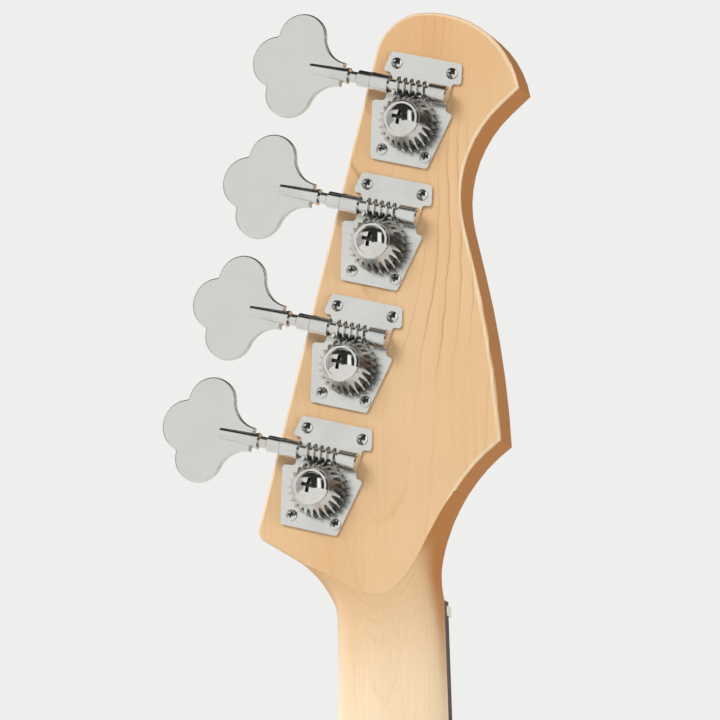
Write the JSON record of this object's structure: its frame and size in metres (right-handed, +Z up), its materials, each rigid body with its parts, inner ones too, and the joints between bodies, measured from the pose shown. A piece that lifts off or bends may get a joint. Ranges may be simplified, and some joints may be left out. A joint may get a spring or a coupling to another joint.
{
  "type": "electric bass guitar",
  "caption": "Left-handed electric bass guitar with a bolt-on neck, open-gear tuners with clover keys, a split pickup, knobs on a pickguard, and a bent-plate bridge.",
  "frame": {"origin": "seat of the strap button at the body's lower end, at half the body's thickness", "axes": "+Z up the neck to the headstock, -Y the way the strings face, +Y out of the back, +X towards the tuner keys and the bass string"},
  "size_m": [0.3235, 0.0686, 1.1725],
  "materials": {
    "maple": "satin clear lacquer over pale straight-grained wood",
    "body_finish": "gloss sunburst lacquer, dark at the edges",
    "dark_wood": "oiled dark wood",
    "pearl": "pearl-like dots",
    "nut_white": "white bone-like",
    "guard_white": "gloss white sheet",
    "black_plastic": "black moulded",
    "coil_wire": "wound enamelled wire",
    "pole_steel": "plain steel",
    "fret_silver": "polished",
    "nickel": "bright nickel plate",
    "pot_metal": "plain metal",
    "string_steel": "round-wound",
    "spring_steel": "plain wire",
    "saddle_steel": "plated",
    "shaft_nickel": "satin-bright nickel plate",
    "key_nickel": "satin-bright nickel plate",
    "gear_metal": "cut teeth, plated",
    "post_nickel": "bright nickel plate"
  },
  "bodies": {
    "instrument": {"neck": "maple", "body": "body_finish", "fingerboard": "dark_wood", "position_markers": "pearl", "nut": "nut_white", "pickguard": "guard_white", "pickup_covers": "black_plastic", "pickup_coils": "coil_wire", "pickup_pole_pieces": "pole_steel", "truss_rod": "pole_steel", "frets": "fret_silver", "tuner_plates": "nickel", "tuner_plate_screws": "nickel", "tuner_ferrules": "nickel", "string_tree": "nickel", "string_tree_screw": "nickel", "strap_buttons": "nickel", "strap_button_screws": "nickel", "neck_plate": "nickel", "neck_screws": "nickel", "pickguard_screws": "nickel", "pickup_screws": "nickel", "output_jack": "nickel", "panel_nuts": "nickel", "bridge_plate": "nickel", "bridge_screws": "nickel", "potentiometers": "pot_metal", "string_e": "string_steel", "string_a": "string_steel", "string_d": "string_steel", "string_g": "string_steel", "saddle_springs": "spring_steel"},
    "key_e": {"worm_shaft_e": "shaft_nickel", "tuner_key_e": "key_nickel"},
    "post_e": {"worm_gear_e": "gear_metal", "string_post_e": "post_nickel"},
    "key_a": {"worm_shaft_a": "shaft_nickel", "tuner_key_a": "key_nickel"},
    "post_a": {"worm_gear_a": "gear_metal", "string_post_a": "post_nickel"},
    "key_d": {"worm_shaft_d": "shaft_nickel", "tuner_key_d": "key_nickel"},
    "post_d": {"worm_gear_d": "gear_metal", "string_post_d": "post_nickel"},
    "key_g": {"worm_shaft_g": "shaft_nickel", "tuner_key_g": "key_nickel"},
    "post_g": {"worm_gear_g": "gear_metal", "string_post_g": "post_nickel"},
    "volume": {"volume_knob": "nickel", "volume_pot_shaft": "pot_metal"},
    "tone": {"tone_knob": "nickel", "tone_pot_shaft": "pot_metal"},
    "saddle_e": {"saddle_e": "saddle_steel"},
    "intonation_e": {"intonation_screw_e": "saddle_steel"},
    "saddle_a": {"saddle_a": "saddle_steel"},
    "intonation_a": {"intonation_screw_a": "saddle_steel"},
    "saddle_d": {"saddle_d": "saddle_steel"},
    "intonation_d": {"intonation_screw_d": "saddle_steel"},
    "saddle_g": {"saddle_g": "saddle_steel"},
    "intonation_g": {"intonation_screw_g": "saddle_steel"}
  },
  "joints": [
    {"name": "key_e_turn", "type": "hinge", "parent": "instrument", "child": "key_e", "pos_m": [0.01605, 0.0009, 1.00018], "axis": [0.965, 0, 0.2622], "continuous": true},
    {"name": "post_e_turn", "type": "hinge", "parent": "instrument", "child": "post_e", "pos_m": [0.0192, -0.0061, 0.9886], "axis": [0, 1, 0], "continuous": true},
    {"name": "key_a_turn", "type": "hinge", "parent": "instrument", "child": "key_a", "pos_m": [0.00447, 0.0009, 1.04283], "axis": [0.965, 0, 0.2622], "continuous": true},
    {"name": "post_a_turn", "type": "hinge", "parent": "instrument", "child": "post_a", "pos_m": [0.00761, -0.0061, 1.03125], "axis": [0, 1, 0], "continuous": true},
    {"name": "key_d_turn", "type": "hinge", "parent": "instrument", "child": "key_d", "pos_m": [-0.00712, 0.0009, 1.08549], "axis": [0.965, 0, 0.2622], "continuous": true},
    {"name": "post_d_turn", "type": "hinge", "parent": "instrument", "child": "post_d", "pos_m": [-0.00398, -0.0061, 1.07391], "axis": [0, 1, 0], "continuous": true},
    {"name": "key_g_turn", "type": "hinge", "parent": "instrument", "child": "key_g", "pos_m": [-0.01871, 0.0009, 1.12814], "axis": [0.965, 0, 0.2622], "continuous": true},
    {"name": "post_g_turn", "type": "hinge", "parent": "instrument", "child": "post_g", "pos_m": [-0.01557, -0.0061, 1.11656], "axis": [0, 1, 0], "continuous": true},
    {"name": "volume_turn", "type": "hinge", "parent": "instrument", "child": "volume", "pos_m": [-0.07326, -0.0244, 0.17526], "axis": [0, -1, 0], "range_deg": [-140, 140]},
    {"name": "tone_turn", "type": "hinge", "parent": "instrument", "child": "tone", "pos_m": [-0.08646, -0.0244, 0.1336], "axis": [0, -1, 0], "range_deg": [-140, 140]},
    {"name": "intonation_e_turn", "type": "hinge", "parent": "instrument", "child": "intonation_e", "pos_m": [0.0242, -0.03315, 0.044], "axis": [0, 0, 1], "range_deg": [-2890, 2890]},
    {"name": "saddle_e_slide", "type": "slide", "parent": "instrument", "child": "saddle_e", "axis": [0, 0, 1], "range_m": [-0.004, 0.004], "deforming": ["saddle_springs"]},
    {"name": "intonation_a_turn", "type": "hinge", "parent": "instrument", "child": "intonation_a", "pos_m": [0.0052, -0.03315, 0.044], "axis": [0, 0, 1], "range_deg": [-2890, 2890]},
    {"name": "saddle_a_slide", "type": "slide", "parent": "instrument", "child": "saddle_a", "axis": [0, 0, 1], "range_m": [-0.004, 0.004], "deforming": ["saddle_springs"]},
    {"name": "intonation_d_turn", "type": "hinge", "parent": "instrument", "child": "intonation_d", "pos_m": [-0.0138, -0.03315, 0.044], "axis": [0, 0, 1], "range_deg": [-2890, 2890]},
    {"name": "saddle_d_slide", "type": "slide", "parent": "instrument", "child": "saddle_d", "axis": [0, 0, 1], "range_m": [-0.004, 0.004], "deforming": ["saddle_springs"]},
    {"name": "intonation_g_turn", "type": "hinge", "parent": "instrument", "child": "intonation_g", "pos_m": [-0.0328, -0.03315, 0.044], "axis": [0, 0, 1], "range_deg": [-2890, 2890]},
    {"name": "saddle_g_slide", "type": "slide", "parent": "instrument", "child": "saddle_g", "axis": [0, 0, 1], "range_m": [-0.004, 0.004], "deforming": ["saddle_springs"]}
  ],
  "couplings": [
    {"joint": "post_e_turn", "follows": "key_e_turn", "ratio": -0.041667},
    {"joint": "post_a_turn", "follows": "key_a_turn", "ratio": -0.041667},
    {"joint": "post_d_turn", "follows": "key_d_turn", "ratio": -0.041667},
    {"joint": "post_g_turn", "follows": "key_g_turn", "ratio": -0.041667},
    {"joint": "intonation_e_turn", "follows": "saddle_e_slide", "rad_per_m": -12566},
    {"joint": "intonation_a_turn", "follows": "saddle_a_slide", "rad_per_m": -12566},
    {"joint": "intonation_d_turn", "follows": "saddle_d_slide", "rad_per_m": -12566},
    {"joint": "intonation_g_turn", "follows": "saddle_g_slide", "rad_per_m": -12566}
  ]
}
